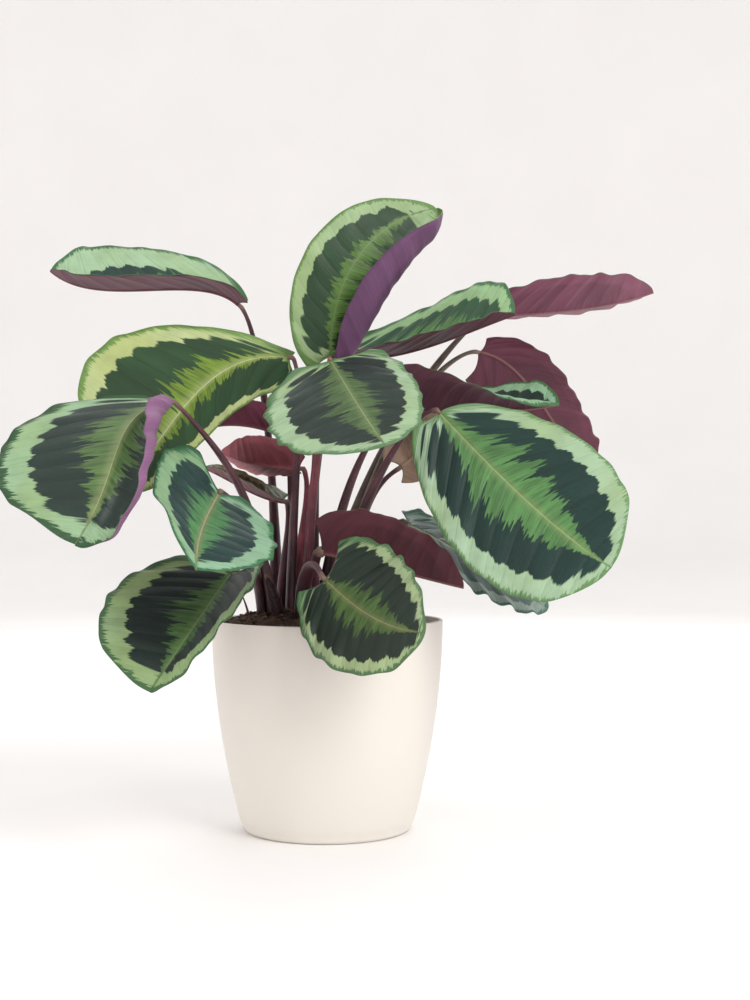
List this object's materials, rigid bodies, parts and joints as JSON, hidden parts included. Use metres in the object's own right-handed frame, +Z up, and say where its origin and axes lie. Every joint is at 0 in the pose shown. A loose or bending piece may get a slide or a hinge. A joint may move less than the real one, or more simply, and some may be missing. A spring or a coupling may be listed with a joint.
{
  "type": "potted calathea",
  "caption": "House plant with broad patterned leaves, purple underneath, on thin stalks that rise from soil in a round tapered cream pot.",
  "frame": {"origin": "middle of the pot's flat base", "axes": "+Z up through the pot's axis, -Y towards the front of the plant, +X to its right as seen from the front"},
  "size_m": [0.6087, 0.403, 0.6078],
  "materials": {
    "pot": "smooth matte cream",
    "soil": "loose dark potting soil",
    "leaf": "satin leaf, light band and dark blotches above, purple beneath",
    "stalk": "satin dark red-brown"
  },
  "bodies": {
    "root": {"pot": "pot", "soil": "soil", "leaf_stalk_01": "stalk", "leaf_stalk_02": "stalk", "leaf_stalk_03": "stalk", "leaf_stalk_04": "stalk", "leaf_stalk_05": "stalk", "leaf_stalk_06": "stalk", "leaf_stalk_07": "stalk", "leaf_stalk_08": "stalk", "leaf_stalk_09": "stalk", "leaf_stalk_10": "stalk", "leaf_stalk_11": "stalk", "leaf_stalk_12": "stalk", "leaf_stalk_13": "stalk", "leaf_stalk_14": "stalk", "leaf_stalk_15": "stalk", "leaf_stalk_16": "stalk", "leaf_stalk_17": "stalk", "leaf_stalk_18": "stalk", "leaf_stalk_19": "stalk", "leaf_blade_01": "leaf", "leaf_blade_02": "leaf", "leaf_blade_03": "leaf", "leaf_blade_04": "leaf", "leaf_blade_05": "leaf", "leaf_blade_06": "leaf", "leaf_blade_07": "leaf", "leaf_blade_08": "leaf", "leaf_blade_09": "leaf", "leaf_blade_10": "leaf", "leaf_blade_11": "leaf", "leaf_blade_12": "leaf", "leaf_blade_13": "leaf", "leaf_blade_14": "leaf", "leaf_blade_15": "leaf", "leaf_blade_16": "leaf", "leaf_blade_17": "leaf", "leaf_blade_18": "leaf", "leaf_blade_19": "leaf", "basal_sheath_01": "stalk", "basal_sheath_02": "stalk", "basal_sheath_03": "stalk", "young_shoot": "stalk"}
  },
  "joints": []
}
